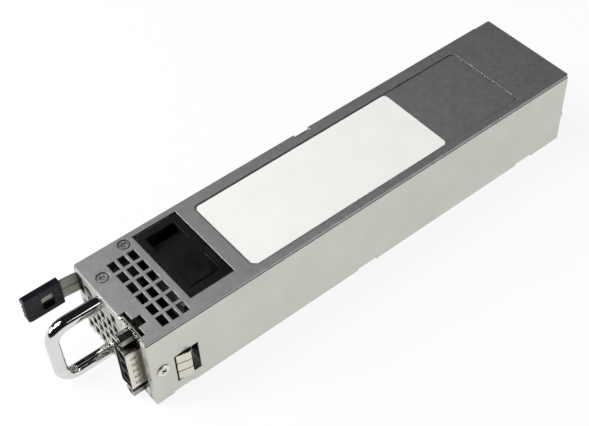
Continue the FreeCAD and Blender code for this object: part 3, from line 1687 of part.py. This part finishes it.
def control_place():
    """Left face and front end of the upright board."""
    return inner_right - control_from_right, board_front + control_from_front


def control_board():
    """A small upright daughter board on the main board."""
    x, front = control_place()
    return on_board(x, x + control_thickness, front, front + control_length, control_height)


def control_chips():
    x, front = control_place()
    face = x + control_thickness
    chips = []
    for along, lift, length, height in chip_sizes:
        middle = front + along
        chips.append(on_board(face, face + chip_thickness, middle - length / 2, middle + length / 2, height,
                              lift))
    return group(chips)


# ================================================================ wiring inside
def lead_ys():
    first = board_front + lead_first
    return [first + i * lead_pitch for i in range(len(contact_places()))]


def input_leads():
    """Three insulated wires from the connector's cups, past the fan, down to the board."""
    leads = []
    start = body_depth + 1.2
    out = start + lead_straight
    for z, turn in zip(contact_places(), lead_ys()):
        points = [Vector(connector_x, start, z), Vector(connector_x, out, z),
                  Vector(lead_x, out + lead_jog, z), Vector(lead_x, turn, z),
                  Vector(lead_x, turn, board_top + 0.2)]
        leads.append(bent_bar(points, wire_radius, lead_bend))
    return group(leads)


def lead_terminals():
    """Tinned collars where the leads meet the board."""
    return group([tube("z", (lead_x, y), board_top, board_top + terminal_height, terminal_radius,
                       wire_radius + thread_clearance) for y in lead_ys()])


# ================================================================ export
pieces = {
    "base_tray": base_tray,
    "top_cover": top_cover,
    "front_panel": front_panel,
    "rear_panel": rear_panel,
    "cover_screws": cover_screws,
    "side_screw": side_screw,
    "blank_label": blank_label,
    "grab_handle": grab_handle,
    "handle_screws": handle_screws,
    "latch_arm": latch_arm,
    "latch_grip": latch_grip,
    "latch_leaf_root": latch_leaf_root,
    "latch_rivets": latch_rivets,
    "status_lens": status_lens,
    "status_led": status_led,
    "connector_shell": connector_shell,
    "connector_back_plate": connector_back_plate,
    "connector_insulator": connector_insulator,
    "power_contacts": power_contacts,
    "jack_sockets": jack_sockets,
    "jack_nuts": jack_nuts,
    "grounding_spring": grounding_spring,
    "fan_frame": fan_frame,
    "fan_impeller": fan_impeller,
    "fan_yoke": fan_yoke,
    "fan_magnet": fan_magnet,
    "fan_shaft": fan_shaft,
    "fan_bearings": fan_bearings,
    "fan_stator": fan_stator,
    "fan_coils": fan_coils,
    "fan_board": fan_board,
    "fan_bracket": fan_bracket,
    "fan_screws": fan_screws,
    "main_board": main_board,
    "card_contacts": card_contacts,
    "board_standoffs": board_standoffs,
    "board_screws": board_screws,
    "insulating_sheet": insulating_sheet,
    "filter_choke_base": filter_choke_base,
    "filter_choke_core": filter_choke_core,
    "filter_choke_windings": filter_choke_windings,
    "bulk_capacitors": bulk_capacitors,
    "film_capacitors": film_capacitors,
    "fuse": fuse,
    "primary_heat_sink": primary_heat_sink,
    "secondary_heat_sink": secondary_heat_sink,
    "primary_transistors": primary_transistors,
    "rectifier_transistors": rectifier_transistors,
    "transistor_screws": transistor_screws,
    "transformer_core": transformer_core,
    "transformer_winding": transformer_winding,
    "transformer_pins": transformer_pins,
    "output_choke_core": output_choke_core,
    "output_choke_winding": output_choke_winding,
    "output_capacitors": output_capacitors,
    "output_bus_bars": output_bus_bars,
    "control_board": control_board,
    "control_chips": control_chips,
    "input_leads": input_leads,
    "lead_terminals": lead_terminals,
}

os.makedirs("parts", exist_ok=True)
for name, make in pieces.items():
    shape = make()
    shape.translate(shift)
    shape.exportStep("parts/" + name + ".step")
    if not shape.isValid() or shape.Volume <= 0 or not shape.Solids:
        print("check", name, shape.ShapeType, shape.isValid(), shape.Volume)
print(len(pieces), "pieces")
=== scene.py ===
"""Looks of a hot swap server power supply: finishes, studio light and camera.

The frame's pieces keep their shape and place.  Each gets a finish named for what it is made
of and how its surface was made.  Sizes of patterns are in millimetres, and a pattern that is
too fine to show is drawn coarser, where its comment says so.
"""
import json
import math

import bpy
from mathutils import Matrix, Vector

MM = 0.001
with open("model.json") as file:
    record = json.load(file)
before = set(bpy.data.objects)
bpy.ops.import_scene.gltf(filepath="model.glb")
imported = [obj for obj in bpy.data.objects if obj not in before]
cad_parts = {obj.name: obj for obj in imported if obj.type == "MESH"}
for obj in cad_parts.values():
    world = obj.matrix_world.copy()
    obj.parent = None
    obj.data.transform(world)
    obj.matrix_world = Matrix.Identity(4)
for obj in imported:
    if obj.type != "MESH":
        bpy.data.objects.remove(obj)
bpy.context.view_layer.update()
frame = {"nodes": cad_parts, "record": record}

# Most of a noise lies between these two values, so colour and gloss are spread over them.
noise_low, noise_high = 0.3, 0.7
# A surface that sees less of the sky than the first share gets the full painted shade, past the second
# none.
walled_in, open_sky = 0.45, 0.9
# Painted shade darkens the case's sheet metal where more of the case stands within this reach.
case_depth = 30.0
# The colour of the painted shade inside the case.
case_shade_colour = "#3a3a38"


# ---------------------------------------------------------------- colour and nodes
def linear(code):
    """An sRGB hex colour as linear RGBA."""
    channels = [int(code[i:i + 2], 16) / 255 for i in (1, 3, 5)]
    return [c / 12.92 if c <= 0.04045 else ((c + 0.055) / 1.055) ** 2.4 for c in channels] + [1.0]


def add(tree, kind, inputs=None, stops=(), **settings):
    """One shader node with its own settings; inputs are constants or other nodes' sockets.

    Stops are the places and hex colours of a ramp's two ends.
    """
    made = tree.nodes.new("ShaderNode" + kind)
    for name, value in settings.items():
        setattr(made, name, value)
    for number, (position, tone) in enumerate(stops):
        made.color_ramp.elements[number].position = position
        made.color_ramp.elements[number].color = linear(tone)
    for name, value in (inputs or {}).items():
        if isinstance(value, bpy.types.NodeSocket):
            tree.links.new(value, made.inputs[name])
        else:
            made.inputs[name].default_value = value
    return made


def bare(material):
    """The node tree of a new material or world, emptied."""
    material.use_nodes = True
    material.node_tree.nodes.clear()
    return material.node_tree


def surface(name, inputs):
    """A material made of one principled surface, with the inputs that its finish works out."""
    material = bpy.data.materials.new(name)
    tree = bare(material)
    shader = add(tree, "BsdfPrincipled", inputs(tree))
    add(tree, "OutputMaterial", {"Surface": shader.outputs["BSDF"]})
    return material


def grain(tree, size, detail=2.0):
    """Noise whose features are size millimetres long along x, y and z."""
    place = add(tree, "TexCoord")
    scaled = add(tree, "Mapping", {"Vector": place.outputs["Object"],
                                   "Scale": [1 / (length * MM) for length in size]})
    noise = add(tree, "TexNoise", {"Vector": scaled.outputs["Vector"], "Scale": 1.0, "Detail": detail})
    return noise.outputs["Fac"]


def mottled(tree, patches, dark, light, smooth, rough, haze=None):
    """Colour from dark to light and roughness from smooth to rough over the patches of a noise.

    The roughness follows haze, a second noise, where there is one.
    """
    colour = add(tree, "ValToRGB", {"Fac": patches}, stops=((noise_low, dark), (noise_high, light)))
    gloss = add(tree, "MapRange", {"Value": patches if haze is None else haze, "From Min": noise_low,
                                   "From Max": noise_high, "To Min": smooth, "To Max": rough})
    return {"Base Color": colour.outputs["Color"], "Roughness": gloss.outputs["Result"]}


def relief(tree, height, depth, edge=0.15):
    """A bump of depth millimetres over edges softened by a small radius in millimetres."""
    soft = add(tree, "Bevel", {"Radius": edge * MM}, samples=4)
    bump = add(tree, "Bump", {"Height": height, "Strength": 1.0, "Distance": depth * MM,
                              "Normal": soft.outputs["Normal"]})
    return bump.outputs["Normal"]


def painted_shade(tree, colour, reach, tone, alone=True):
    """The colour, darkened towards this tone as painted shade where the surface is walled in within reach
    millimetres.

    Alone, only the piece itself counts as a wall, and otherwise every piece does.
    """
    # Ambient occlusion paints shade into the colour.
    sky = add(tree, "AmbientOcclusion", {"Distance": reach * MM}, samples=8, only_local=alone)
    shade_ramp = add(tree, "ValToRGB", {"Fac": sky.outputs["AO"]},
                 stops=((walled_in, tone), (open_sky, "#ffffff")))
    both = add(tree, "MixRGB", {"Fac": 1.0, "Color1": colour, "Color2": shade_ramp.outputs["Color"]},
               blend_type="MULTIPLY")
    return both.outputs["Color"]


# ---------------------------------------------------------------- metals
def zinc_sheet(name, dark, light, rough, spangle=9.0, edge=0.35):
    """Galvanised steel sheet: faint clouds of zinc crystals, spangle millimetres across, under a
    soft grey sheen. Folds catch a thin line of light, and painted shade darkens the inside of the case.
    """
    def inputs(tree):
        crystals = grain(tree, (spangle, spangle, spangle), detail=4.0)
        # The zinc's speckle is really about 0.2 mm, and is drawn over 1 mm coarse so that it shows.
        speckle = grain(tree, (1.1, 1.4, 1.1))
        finish = mottled(tree, crystals, dark, light, rough - 0.02, rough + 0.03, haze=speckle)
        # Painted shade: the colour darkens inside the case, where its walls stand close.
        finish["Base Color"] = painted_shade(tree, finish["Base Color"], case_depth, case_shade_colour)
        return {**finish, "Metallic": 1.0, "Normal": relief(tree, speckle, 0.003, edge)}
    return surface(name, inputs)


def plated_steel(name, dark, light, rough, edge=0.12, hollow_shade="#ffffff", reach=1.5):
    """A thin plate over turned or pressed metal: an even, faint haze, and painted shade in hollows and
    where other pieces crowd it.
    """
    def inputs(tree):
        # The haze of the plating bath is really below 0.5 mm, and is drawn coarser so that it shows.
        haze = grain(tree, (2.4, 2.4, 2.4), detail=3.0)
        finish = mottled(tree, haze, dark, light, rough - 0.03, rough + 0.04)
        # Painted shade: the colour darkens in hollows and where other pieces stand close.
        finish["Base Color"] = painted_shade(tree, finish["Base Color"], reach, hollow_shade, alone=False)
        fine = grain(tree, (0.3, 0.3, 0.3))
        return {**finish, "Metallic": 1.0, "Normal": relief(tree, fine, 0.001, edge)}
    return surface(name, inputs)


def polished_chrome():
    """Chrome plate on a polished bar: a clear mirror with faint wipe marks along it."""
    def inputs(tree):
        wipes = grain(tree, (3.0, 14.0, 3.0), detail=4.0)
        return {**mottled(tree, wipes, "#d3d4d2", "#dededd", 0.04, 0.08), "Metallic": 1.0}
    return surface("polished_chrome_plate", inputs)


def rolled_spring_strip():
    """Stainless spring strip: rolling lines along its length give a satin, slightly brown grey."""
    def inputs(tree):
        # The rolling lines are really some 0.05 mm apart, and are drawn coarser so that they show.
        lines = grain(tree, (0.35, 30.0, 0.35), detail=4.0)
        return {**mottled(tree, lines, "#8c8c81", "#a5a59b", 0.3, 0.4), "Metallic": 1.0,
                "Normal": relief(tree, lines, 0.002, 0.1)}
    return surface("rolled_stainless_strip", inputs)


def enamelled_copper():
    """Copper wire under clear enamel, wound turn by turn: warm, glossy and ribbed."""
    def inputs(tree):
        turns = grain(tree, (0.5, 0.5, 6.0), detail=1.0)
        return {**mottled(tree, turns, "#7c3d1c", "#c97f4a", 0.22, 0.34), "Metallic": 1.0,
                "Normal": relief(tree, turns, 0.08, 0.1)}
    return surface("enamelled_copper_wire", inputs)


# ---------------------------------------------------------------- plastics and others
def moulded(name, dark, light, rough, texture=0.25, depth=0.01, edge=0.25, gloss=0.5):
    """A moulded or cast piece: the mould's fine texture breaks the gloss, which is slightly uneven."""
    def inputs(tree):
        cloud = grain(tree, (6.0, 6.0, 6.0), detail=3.0)
        # Spark-eroded texture is really about 0.05 mm, and is drawn coarser so that it shows.
        eroded = grain(tree, (texture, texture, texture))
        return {**mottled(tree, cloud, dark, light, rough - 0.04, rough + 0.06), "IOR": 1.5,
                "Specular IOR Level": gloss, "Normal": relief(tree, eroded, depth, edge)}
    return surface(name, inputs)


def coated_label():
    """Coated polyester film: bright white, smooth, a little uneven over its adhesive."""
    def inputs(tree):
        cloud = grain(tree, (14.0, 14.0, 14.0), detail=3.0)
        ripple = grain(tree, (5.0, 5.0, 5.0))
        return {**mottled(tree, cloud, "#edeee9", "#f1f2ee", 0.4, 0.5), "IOR": 1.5,
                "Specular IOR Level": 0.3, "Normal": relief(tree, ripple, 0.008, 0.08)}
    return surface("coated_polyester_film", inputs)


def smoked_lens():
    """Smoked acrylic, moulded and polished: nearly black, with a soft gloss."""
    def inputs(tree):
        cloud = grain(tree, (2.5, 2.5, 2.5))
        return {**mottled(tree, cloud, "#1e1c1a", "#2b2927", 0.2, 0.3), "IOR": 1.49,
                "Specular IOR Level": 0.3}
    return surface("smoked_acrylic", inputs)


def laminate():
    """Glass-epoxy board under green solder mask: glossy, and the weave 0.6 mm apart shows faintly."""
    def inputs(tree):
        weave = grain(tree, (0.6, 0.6, 0.6), detail=1.0)
        return {**mottled(tree, weave, "#17492c", "#22643d", 0.22, 0.32), "IOR": 1.5,
                "Normal": relief(tree, weave, 0.01, 0.1)}
    return surface("solder_masked_laminate", inputs)


finishes = {
    # The cover's zinc is fine-grained and matt, so it takes the whole ceiling's grey.
    "galvanised_cover": zinc_sheet("galvanised_cover_sheet", "#a0a2a1", "#acaead", 0.58, spangle=3.0,
                                   edge=0.5),
    # The tray is paler and smoother, with large crystals that hardly show.
    "tray_steel": zinc_sheet("galvanised_tray_sheet", "#c9c9c1", "#cfcfc7", 0.42, spangle=14.0),
    # The end panels are punched from plated sheet and spread the light widely.
    "panel_steel": zinc_sheet("zinc_plated_panel_sheet", "#bdbdb6", "#c8c8c2", 0.55, spangle=8.0),
    # Screw heads are pale and clean, and painted shade darkens their cross.
    "screw_steel": plated_steel("zinc_plated_screw_steel", "#d9d7d0", "#e4e2dc", 0.36, hollow_shade="#2b2a27"),
    "label_film": coated_label(),
    "handle_chrome": polished_chrome(),
    "spring_steel": rolled_spring_strip(),
    # The grip is dark blue-black, with a soft gloss on its top.
    "grip_plastic": moulded("moulded_nylon_grip", "#100f18", "#14121f", 0.28, texture=0.5, gloss=0.25),
    "lens_smoked": smoked_lens(),
    # The lamp behind the lens is pale, cloudy and glossy.
    "led_epoxy": moulded("cast_epoxy_lamp", "#c2cebc", "#d8e0d2", 0.15, depth=0.001),
    # Bright nickel on the connector's shell and the grounding spring is warm and mirror-like, and
    # painted shade darkens it where other pieces crowd it.
    "nickel_shell": plated_steel("bright_nickel_plate", "#d2ccc0", "#ddd8cc", 0.2, hollow_shade="#3d3a33",
                                 reach=5.0),
    # Dull nickel on the turned sockets is a darker grey, and painted shade darkens it where other pieces
    # crowd it.
    "jack_steel": plated_steel("dull_nickel_plate", "#8d8c86", "#a09f98", 0.2, hollow_shade="#4a4843",
                               reach=4.0),
    # Glass-filled polyester is black and matt.
    "insulator_black": moulded("moulded_glass_filled_polyester", "#101012", "#161618", 0.5, gloss=0.25),
    # Hard gold over the contacts is deep yellow and bright.
    "contact_gold": plated_steel("hard_gold_plate", "#c59f4e", "#e0c078", 0.2),
    # The fan's frame is black with a faint gloss, and its blades are a shade lighter.
    "fan_plastic": moulded("moulded_black_polyester", "#0d0d0e", "#121213", 0.4, texture=0.3, gloss=0.3),
    "rotor_plastic": moulded("moulded_black_nylon", "#39393a", "#464647", 0.3, texture=0.3),
    # Baked black enamel on the fan's bracket is flat and even.
    "bracket_paint": moulded("black_enamelled_sheet", "#101011", "#151516", 0.5, depth=0.004, gloss=0.15),
    # Stampings of soft iron are a plain mid grey.
    "soft_iron": plated_steel("stamped_soft_iron", "#6d6f70", "#828485", 0.4),
    # Bonded ferrite is a dull brown-black, and sintered ferrite a dull grey-black.
    "magnet_ferrite": moulded("bonded_ferrite", "#2f2c2a", "#3c3936", 0.6, depth=0.02),
    "ferrite": moulded("sintered_ferrite", "#343436", "#434345", 0.55, depth=0.02),
    # The ground shaft is bright and smooth.
    "shaft_steel": plated_steel("ground_bearing_steel", "#c2c4c6", "#d5d7d8", 0.14),
    "copper": enamelled_copper(),
    "board_laminate": laminate(),
    # A shrunk vinyl sleeve is tight, dark blue and glossy.
    "capacitor_sleeve": moulded("shrunk_vinyl_sleeve", "#1f2833", "#2b3644", 0.24, depth=0.003),
    # Film capacitors have a filled, ochre case.
    "film_block": moulded("filled_polyester_case", "#ae9438", "#c2aa52", 0.3, depth=0.004),
    # The fuse's glazed tube is cream and glossy.
    "ceramic": moulded("glazed_ceramic_tube", "#dcd8cb", "#e8e4d9", 0.2, depth=0.002),
    # Extruded heat sinks are a clean, satin silver.
    "sink_aluminium": plated_steel("extruded_aluminium", "#a7aaac", "#babdbf", 0.34),
    # Transistors and chips are cast in matt black epoxy.
    "package_epoxy": moulded("moulded_epoxy_package", "#1f1f21", "#29292b", 0.5),
    # Winding tape is a smooth, clear yellow.
    "tape_yellow": moulded("polyester_winding_tape", "#c4a83c", "#dbc160", 0.3, depth=0.01),
    # Tinned copper is a soft, even silver.
    "tinned": plated_steel("tinned_copper", "#b2b4b2", "#c6c8c6", 0.28),
    # The insulating sheet is matt black film.
    "film_black": moulded("black_polycarbonate_film", "#101011", "#151517", 0.6, depth=0.002, gloss=0.1),
    # Silicone leads are black with a dull sheen.
    "wire_insulation": moulded("extruded_silicone_sheath", "#141416", "#1c1c1e", 0.38, depth=0.004),
}

for part in frame["record"]["subparts"]:
    node = frame["nodes"][part["node"]]
    node.data.materials.clear()
    node.data.materials.append(finishes[part["material_slot"]])


# ---------------------------------------------------------------- studio
floor_side = 24
# How much of the paper's white is its own where it is seen directly, mirrored or through glass.
own_white = 0.9
# Heights of the horizon's white and of the dark ceiling, as the sine of the angle above the horizon.
horizon, ceiling = 0.0, 0.16
lamp_target = (0, 0, 0.02)

# The camera's place and aim in millimetres, and its tilt in degrees.
camera_stand = Vector((259.98, -216.57, 389.33))
camera_aim = Vector((-4.41, -20.17, 20.2))
camera_tilt = -2.968
focal_length = 70.82


def lit_floor():
    """White paper sweep under the object: seen as white, and still shaded where the object shades it."""
    material = bpy.data.materials.new("white_paper_sweep")
    tree = bare(material)
    path = add(tree, "LightPath")
    seen = add(tree, "Math", {0: path.outputs["Is Camera Ray"], 1: path.outputs["Is Glossy Ray"]},
               operation="MAXIMUM")
    clear = add(tree, "Math", {0: seen.outputs[0], 1: path.outputs["Is Transmission Ray"]},
                operation="MAXIMUM")
    share = add(tree, "Math", {0: clear.outputs[0], 1: own_white}, operation="MULTIPLY")
    paper = add(tree, "BsdfDiffuse", {"Color": linear("#f2f2f2")})
    glow = add(tree, "Emission", {"Color": linear("#ffffff"), "Strength": 1.0})
    mixed = add(tree, "MixShader", {0: share.outputs[0], 1: paper.outputs[0], 2: glow.outputs[0]})
    add(tree, "OutputMaterial", {"Surface": mixed.outputs[0]})
    bpy.ops.mesh.primitive_plane_add(size=floor_side)
    floor = bpy.context.object
    floor.name = "studio_floor"
    floor.data.materials.append(material)


def studio_world():
    """A white horizon under a dark ceiling, so that polished metal shows contrast."""
    world = bpy.data.worlds.new("studio")
    bpy.context.scene.world = world
    tree = bare(world)
    place = add(tree, "TexCoord")
    axes = add(tree, "SeparateXYZ", {"Vector": place.outputs["Generated"]})
    fall = add(tree, "ValToRGB", {"Fac": axes.outputs["Z"]},
               stops=((horizon, "#ffffff"), (ceiling, "#1f2124")))
    sky = add(tree, "Background", {"Color": fall.outputs["Color"], "Strength": 1.0})
    add(tree, "OutputWorld", {"Surface": sky.outputs["Background"]})


def softbox(name, place, side, power):
    """A square lamp with this side in metres and power in watts, turned to the object."""
    lamp = bpy.data.lights.new(name, "AREA")
    lamp.shape = "SQUARE"
    lamp.size = side
    lamp.energy = power
    holder = bpy.data.objects.new(name, lamp)
    holder.location = place
    holder.rotation_euler = (Vector(lamp_target) - Vector(place)).to_track_quat("-Z", "Y").to_euler()
    bpy.context.scene.collection.objects.link(holder)


def long_lens_camera():
    """A long lens from the front right and above, tilted a little."""
    data = bpy.data.cameras.new("camera")
    data.lens = focal_length
    data.sensor_width = 36.0
    data.clip_start = 0.01
    camera = bpy.data.objects.new("camera", data)
    turn = (camera_aim * MM - camera_stand * MM).to_track_quat("-Z", "Y").to_matrix().to_4x4()
    tilt = Matrix.Rotation(math.radians(camera_tilt), 4, "Z")
    camera.matrix_world = Matrix.Translation(camera_stand * MM) @ turn @ tilt
    bpy.context.scene.collection.objects.link(camera)
    bpy.context.scene.camera = camera


lit_floor()
studio_world()
softbox("overhead_softbox", (-0.4, -0.6, 1.1), 0.65, 14.1)
softbox("right_card", (0.9, 0.5, 0.62), 0.7, 4.0)
softbox("front_card", (-0.55, -0.85, 0.42), 0.3, 7.0)
long_lens_camera()

bpy.context.scene.view_settings.view_transform = "Standard"
